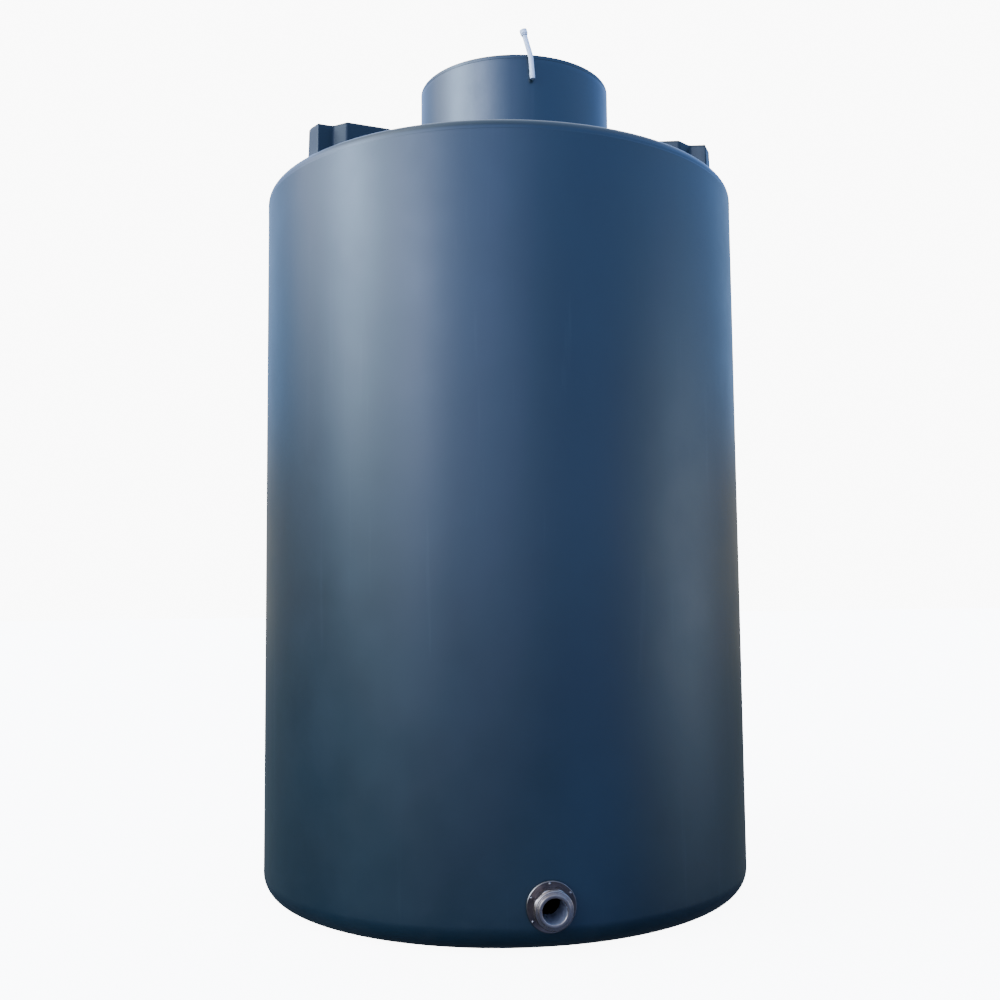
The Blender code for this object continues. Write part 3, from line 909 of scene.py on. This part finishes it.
class Nodes:
    """Short names for building one material's nodes."""

    def __init__(self, name):
        self.material = bpy.data.materials.new(name)
        self.material.use_nodes = True
        self.tree = self.material.node_tree
        self.shader = self.tree.nodes["Principled BSDF"]
        self.place = self.add("ShaderNodeTexCoord").outputs["Object"]

    def add(self, kind, **settings):
        node = self.tree.nodes.new(kind)
        for key, value in settings.items():
            setattr(node, key, value)
        return node

    def link(self, source, target):
        self.tree.links.new(source, target)

    def split(self, vector):
        node = self.add("ShaderNodeSeparateXYZ")
        self.link(vector, node.inputs["Vector"])
        return node.outputs

    def scaled(self, scale):
        mapping = self.add("ShaderNodeMapping")
        mapping.inputs["Scale"].default_value = scale
        self.link(self.place, mapping.inputs["Vector"])
        return mapping.outputs["Vector"]

    def noise(self, vector, scale, detail, rough=0.55):
        node = self.add("ShaderNodeTexNoise")
        self.link(vector, node.inputs["Vector"])
        node.inputs["Scale"].default_value = scale
        node.inputs["Detail"].default_value = detail
        node.inputs["Roughness"].default_value = rough
        return node.outputs["Fac"]

    def span(self, value, low, high, to_low=0.0, to_high=1.0):
        node = self.add("ShaderNodeMapRange")
        self.link(value, node.inputs["Value"])
        node.inputs["From Min"].default_value = low
        node.inputs["From Max"].default_value = high
        node.inputs["To Min"].default_value = to_low
        node.inputs["To Max"].default_value = to_high
        return node.outputs["Result"]

    def math(self, operation, first, second):
        node = self.add("ShaderNodeMath", operation=operation)
        for socket, value in zip(node.inputs, (first, second)):
            if isinstance(value, (int, float)):
                socket.default_value = value
            else:
                self.link(value, socket)
        return node.outputs["Value"]

    def product(self, first, *others):
        for value in others:
            first = self.math("MULTIPLY", first, value)
        return first

    def mix(self, share, first, second):
        node = self.add("ShaderNodeMix", data_type="RGBA")
        self.link(share, node.inputs["Factor"])
        for socket, value in ((node.inputs["A"], first), (node.inputs["B"], second)):
            if isinstance(value, tuple):
                socket.default_value = (*value, 1.0)
            else:
                self.link(value, socket)
        return node.outputs["Result"]

    def bump(self, height, distance, strength, below=None):
        node = self.add("ShaderNodeBump")
        node.inputs["Distance"].default_value = distance
        node.inputs["Strength"].default_value = strength
        self.link(height, node.inputs["Height"])
        if below is not None:
            self.link(below, node.inputs["Normal"])
        return node.outputs["Normal"]

    def surface(self, colour, roughness, normal):
        self.link(colour, self.shader.inputs["Base Color"])
        self.link(roughness, self.shader.inputs["Roughness"])
        self.link(normal, self.shader.inputs["Normal"])


def neck_painted_highlight(n, colour):
    """A broad pale painted highlight down the neck's left front, mottled in clouds."""
    place = n.split(n.place)
    angle = math.radians(NECK_HIGHLIGHT_AZIMUTH)
    off_x = n.math("SUBTRACT", place["X"], NECK_X + NECK_RADIUS * math.sin(angle))
    off_y = n.math("SUBTRACT", place["Y"], -NECK_RADIUS * math.cos(angle))
    off = n.math("ADD", n.product(off_x, off_x), n.product(off_y, off_y))
    near = n.span(n.math("POWER", off, 0.5), NECK_HIGHLIGHT_REACH, 0.0)
    above = n.span(place["Z"], NECK_HIGHLIGHT_FOOT, NECK_HIGHLIGHT_FULL)
    cloud_field = n.noise(n.scaled((1.0, 1.0, 0.5)), scale=22.0, detail=6.0, rough=0.6)
    cloud = n.span(cloud_field, 0.32, 0.68, to_low=0.70)
    return n.mix(n.product(near, above, cloud, NECK_HIGHLIGHT_STRENGTH), colour, NECK_HIGHLIGHT_TONE)


def moulded_bumps(n):
    """Orange peel, fine pits and a broad ripple."""
    peel = n.bump(n.noise(n.place, scale=260.0, detail=2.0, rough=0.5), distance=0.00012, strength=0.5)
    pits = n.noise(n.place, scale=900.0, detail=1.0, rough=0.5)
    pitted = n.bump(pits, distance=0.00005, strength=0.4, below=peel)
    ripple = n.noise(n.scaled((1.0, 1.0, 0.7)), scale=9.0, detail=2.0, rough=0.4)
    return n.bump(ripple, distance=0.0010, strength=0.35, below=pitted)


def polyethylene(name, base, dusty, gloss=0.5, roughness=(0.29, 0.35), neck_highlight=False):
    """Satin moulded plastic: slow colour drift, orange peel, fine scuffs, dust where it can lie."""
    n = Nodes(name)
    drift = n.span(n.noise(n.scaled((1.0, 1.0, 0.6)), scale=2.2, detail=5.0), 0.35, 0.65)
    lighter = tuple(part * 1.16 + 0.0013 for part in base)
    colour = n.mix(drift, shaded(base, 0.88), lighter)
    streak_field = n.noise(n.scaled((11.0, 11.0, 0.45)), scale=2.0, detail=6.0, rough=0.62)
    colour = n.mix(n.span(streak_field, 0.60, 0.80, to_high=0.065), colour, STREAK_TONE)
    scuff_field = n.noise(n.scaled((3.0, 3.0, 70.0)), scale=3.0, detail=8.0, rough=0.7)
    scuffs = n.span(scuff_field, 0.69, 0.76, to_high=0.11)
    colour = n.mix(scuffs, colour, SCUFF_TONE)
    facing = n.split(n.add("ShaderNodeNewGeometry").outputs["Normal"])
    specks = n.span(n.noise(n.place, scale=38.0, detail=6.0, rough=0.65), 0.42, 0.72, to_low=0.25)
    dust = n.product(n.span(facing["Z"], 0.55, 1.0), specks, dusty)
    colour = n.mix(dust, colour, DUST_TONE)
    splash_field = n.noise(n.scaled((1.0, 1.0, 1.6)), scale=14.0, detail=6.0, rough=0.65)
    low = n.span(n.split(n.place)["Z"], SPLASH_HEIGHT, 0.0)
    splash = n.product(low, n.span(splash_field, 0.45, 0.75), SPLASH_STRENGTH)
    colour = n.mix(splash, colour, SPLASH_TONE)
    # Painted highlight on the neck's left front
    if neck_highlight:
        colour = neck_painted_highlight(n, colour)
    satin = n.span(n.noise(n.place, scale=6.0, detail=5.0), 0.3, 0.7, *roughness)
    dulled = n.math("ADD", satin, n.product(n.math("ADD", dust, scuffs), 0.5))
    n.surface(colour, dulled, moulded_bumps(n))
    n.shader.inputs["Specular IOR Level"].default_value = gloss
    return n.material


def steel(name, base, roughness, metallic=1.0, turned_lines=True):
    """Turned stainless steel: lines round the axis, smudges, darker grime in places."""
    n = Nodes(name)
    smudge = n.noise(n.place, scale=55.0, detail=6.0, rough=0.6)
    colour = n.mix(n.span(smudge, 0.35, 0.7), base, shaded(base, 0.72))
    grime = n.span(n.noise(n.place, scale=160.0, detail=4.0, rough=0.6), 0.60, 0.78, to_high=0.55)
    colour = n.mix(grime, colour, GRIME_TONE)
    n.shader.inputs["Metallic"].default_value = metallic
    grain = n.bump(n.noise(n.place, scale=1400.0, detail=2.0, rough=0.6), distance=0.00006, strength=0.6)
    if turned_lines:
        lines = n.add("ShaderNodeTexWave", wave_type="RINGS", rings_direction="Z")
        n.link(n.place, lines.inputs["Vector"])
        lines.inputs["Scale"].default_value = 260.0
        lines.inputs["Distortion"].default_value = 1.5
        grain = n.bump(lines.outputs["Fac"], distance=0.00005, strength=0.6, below=grain)
    n.surface(colour, n.span(smudge, 0.3, 0.7, *roughness), grain)
    return n.material


def rubber(name):
    n = Nodes(name)
    mottling = n.noise(n.place, scale=90.0, detail=5.0)
    colour = n.mix(n.span(mottling, 0.3, 0.7), (0.016, 0.016, 0.018), (0.032, 0.032, 0.034))
    grain = n.bump(n.noise(n.place, scale=700.0, detail=3.0), distance=0.00010, strength=0.6)
    n.surface(colour, n.span(mottling, 0.3, 0.7, 0.62, 0.80), grain)
    return n.material


def white_plastic(name):
    n = Nodes(name)
    stain_field = n.noise(n.scaled((1.0, 1.0, 0.4)), scale=60.0, detail=5.0)
    stain = n.span(stain_field, 0.45, 0.8, to_high=0.35)
    colour = n.mix(stain, (0.760, 0.775, 0.815), (0.610, 0.610, 0.620))
    dullness = n.span(n.noise(n.place, scale=120.0, detail=3.0), 0.3, 0.7, 0.30, 0.42)
    grain_field = n.noise(n.scaled((1.0, 1.0, 0.3)), scale=500.0, detail=3.0)
    n.surface(colour, dullness, n.bump(grain_field, distance=0.00010, strength=0.5))
    n.shader.inputs["Subsurface Weight"].default_value = 0.08
    n.shader.inputs["Subsurface Radius"].default_value = (0.004, 0.004, 0.004)
    return n.material


def dress(item, material):
    item.data.materials.clear()
    item.data.materials.append(material)


def dress_band(item, material, low, high):
    """Gives a turned piece a second material between two radii."""
    item.data.materials.append(material)
    for face in item.data.polygons:
        radius = math.hypot(face.center.x, face.center.y)
        if low < radius < high:
            face.material_index = 1


# Stage, light and camera

def build_floor():
    mesh = bpy.data.meshes.new("studio_floor")
    work = bmesh.new()
    bmesh.ops.create_grid(work, x_segments=1, y_segments=1, size=FLOOR_REACH)
    work.to_mesh(mesh)
    work.free()
    floor = bpy.data.objects.new("studio_floor", mesh)
    bpy.context.scene.collection.objects.link(floor)
    floor.location.z = -FLOOR_DROP
    material = bpy.data.materials.new("pale_floor")
    material.use_nodes = True
    shader = material.node_tree.nodes["Principled BSDF"]
    shader.inputs["Base Color"].default_value = (0.80, 0.76, 0.68, 1.0)
    shader.inputs["Roughness"].default_value = 0.9
    shader.inputs["Specular IOR Level"].default_value = 0.1
    shader.inputs["Emission Color"].default_value = (1.0, 1.0, 1.0, 1.0)
    shader.inputs["Emission Strength"].default_value = FLOOR_GLOW
    mesh.materials.append(material)
    floor.visible_glossy = False
    floor.visible_diffuse = False
    floor.visible_shadow = False


class Sky:
    """Short names for building the world's nodes."""

    def __init__(self, tree):
        self.tree = tree
        self.aim = tree.nodes.new("ShaderNodeTexCoord").outputs["Generated"]
        split = tree.nodes.new("ShaderNodeSeparateXYZ")
        tree.links.new(self.aim, split.inputs["Vector"])
        self.height = split.outputs["Z"]

    def fill(self, socket, value):
        if isinstance(value, bpy.types.NodeSocket):
            self.tree.links.new(value, socket)
        else:
            socket.default_value = value

    def calc(self, operation, first, second=0.0):
        node = self.tree.nodes.new("ShaderNodeMath")
        node.operation = operation
        self.fill(node.inputs[0], first)
        self.fill(node.inputs[1], second)
        return node.outputs["Value"]

    def vector(self, operation, first, second, output="Vector"):
        node = self.tree.nodes.new("ShaderNodeVectorMath")
        node.operation = operation
        self.fill(node.inputs[0], first)
        self.fill(node.inputs["Scale" if operation == "SCALE" else 1], second)
        return node.outputs[output]

    def ramp(self, low, high):
        node = self.tree.nodes.new("ShaderNodeMapRange")
        node.interpolation_type = "SMOOTHSTEP"
        self.fill(node.inputs["Value"], self.height)
        self.fill(node.inputs["From Min"], low)
        self.fill(node.inputs["From Max"], high)
        return node.outputs["Result"]

    def belt(self, rise, risen, fade, faded):
        fading = self.calc("SUBTRACT", 1.0, self.ramp(fade, faded))
        return self.calc("MULTIPLY", self.ramp(rise, risen), fading)

    def glow(self, azimuth, elevation, tightness, flatness):
        a, e = math.radians(azimuth), math.radians(elevation)
        centre = (math.sin(a) * math.cos(e), -math.cos(a) * math.cos(e), math.sin(e))
        near = self.calc("SUBTRACT", self.vector("DOT_PRODUCT", self.aim, centre, "Value"), 1.0)
        off = self.calc("SUBTRACT", self.height, math.sin(e))
        squash = self.calc("MULTIPLY", self.calc("MULTIPLY", off, off), flatness)
        return self.calc("EXPONENT", self.calc("SUBTRACT", self.calc("MULTIPLY", near, tightness), squash))


def build_world():
    """Belts of light at several heights with soft lights all round, before a bright backdrop."""
    world = bpy.data.worlds.new("studio")
    bpy.context.scene.world = world
    world.use_nodes = True
    tree = world.node_tree
    sky = Sky(tree)
    parts = [(sky.belt(*heights), colour) for heights, colour in BELTS]
    parts += [(sky.glow(*numbers), colour) for *numbers, colour in SOFT_LIGHTS]
    light = (0.0, 0.0, 0.0)
    for share, colour in parts:
        light = sky.vector("ADD", sky.vector("SCALE", colour, share), light)
    seen = tree.nodes.new("ShaderNodeLightPath").outputs["Is Camera Ray"]
    lit = sky.vector("SCALE", light, sky.calc("SUBTRACT", 1.0, seen))
    backdrop = sky.vector("SCALE", (BACKDROP, BACKDROP, BACKDROP), seen)
    tree.links.new(sky.vector("ADD", lit, backdrop), tree.nodes["Background"].inputs["Color"])


def camera_matrix():
    yaw, pitch, roll = (math.radians(v) for v in (CAMERA_YAW, CAMERA_PITCH, CAMERA_ROLL))
    forward = Vector((math.sin(yaw) * math.cos(pitch), math.cos(yaw) * math.cos(pitch), math.sin(pitch)))
    right = Vector((math.cos(yaw), -math.sin(yaw), 0.0))
    up = right.cross(forward)
    across = right * math.cos(roll) + up * math.sin(roll)
    upright = up * math.cos(roll) - right * math.sin(roll)
    turn = Matrix.Rotation(math.radians(-CAMERA_TURN), 3, "Z")
    eye = turn @ Vector((0.0, -CAMERA_DISTANCE, CAMERA_HEIGHT))
    matrix = Matrix.Identity(4)
    for c, column in enumerate((turn @ across, turn @ upright, turn @ -forward, eye)):
        for r in range(3):
            matrix[r][c] = column[r]
    return matrix


def build_camera():
    data = bpy.data.cameras.new("camera")
    data.sensor_width = CAMERA_SENSOR
    data.lens = CAMERA_LENS
    data.shift_x = CAMERA_SHIFT_X
    data.shift_y = CAMERA_SHIFT_Y
    data.clip_end = CAMERA_REACH
    camera = bpy.data.objects.new("camera", data)
    bpy.context.scene.collection.objects.link(camera)
    camera.matrix_world = camera_matrix()
    bpy.context.scene.camera = camera


# Whole tank

def add_tank():
    tank_skin = polyethylene("moulded_polyethylene", NAVY, dusty=0.15, neck_highlight=True)
    lid_skin = polyethylene("lid_polyethylene", shaded(NAVY, 1.08), dusty=0.19)
    # Painted shade: the lugs take the body's navy darkened to 0.62, with less gloss and a rougher finish
    lug_shade_tone = shaded(NAVY, 0.62)
    lug_shaded_skin = polyethylene("lug_polyethylene", lug_shade_tone, dusty=0.12, gloss=0.29, roughness=(0.36, 0.44))
    dress(build_body(), tank_skin)
    dress(build_lid(), lid_skin)
    for number, azimuth in enumerate(LUG_AZIMUTHS, 1):
        dress(build_lug(number, azimuth), lug_shaded_skin)


def add_outlet():
    dress(build_gasket(), rubber("black_rubber"))
    # Painted shade: the flange's face is the same steel as the rest, darkened for the collar's shadow and
    # the dark ground it faces; its rim band keeps a lighter steel
    shaded_flange_steel = steel("flange_steel_painted_shade", (0.115, 0.092, 0.088), (0.42, 0.55))
    rim_steel = steel("rim_steel", (0.360, 0.310, 0.270), (0.18, 0.26), turned_lines=False)
    bright_steel = steel("turned_steel", (0.320, 0.245, 0.200), (0.19, 0.30))
    nut_steel = steel("nut_steel", (0.380, 0.300, 0.250), (0.24, 0.34), turned_lines=False)
    # Painted light: the bore's inside takes a lighter, bluer, less metallic copy of the sleeve's steel,
    # with a rougher finish
    bore_steel_painted_light = steel("bore_steel_painted_light", (0.460, 0.440, 0.480), (0.28, 0.40), 0.65, turned_lines=False)
    screw_steel = steel("screw_steel", (0.260, 0.225, 0.215), (0.26, 0.36), turned_lines=False)
    flange = build_flange()
    dress(flange, shaded_flange_steel)
    dress_band(flange, rim_steel, FLANGE_RADIUS - RIM_BAND, FLANGE_RADIUS)
    dress(build_screws(), screw_steel)
    dress(build_nut(), nut_steel)
    sleeve = build_sleeve()
    dress(sleeve, bright_steel)
    dress_band(sleeve, bore_steel_painted_light, 0.0, BORE_RADIUS + BORE_BAND)
    dress(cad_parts["outlet_inner_flange"], bright_steel)


def add_tube():
    white = white_plastic("white_plastic")
    dress(build_tube(), white)
    dress(build_cap(), white)
    dress(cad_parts["tube_saddle"], white)


def main():
    build_camera()
    build_floor()
    build_world()
    add_tank()
    add_outlet()
    add_tube()


main()
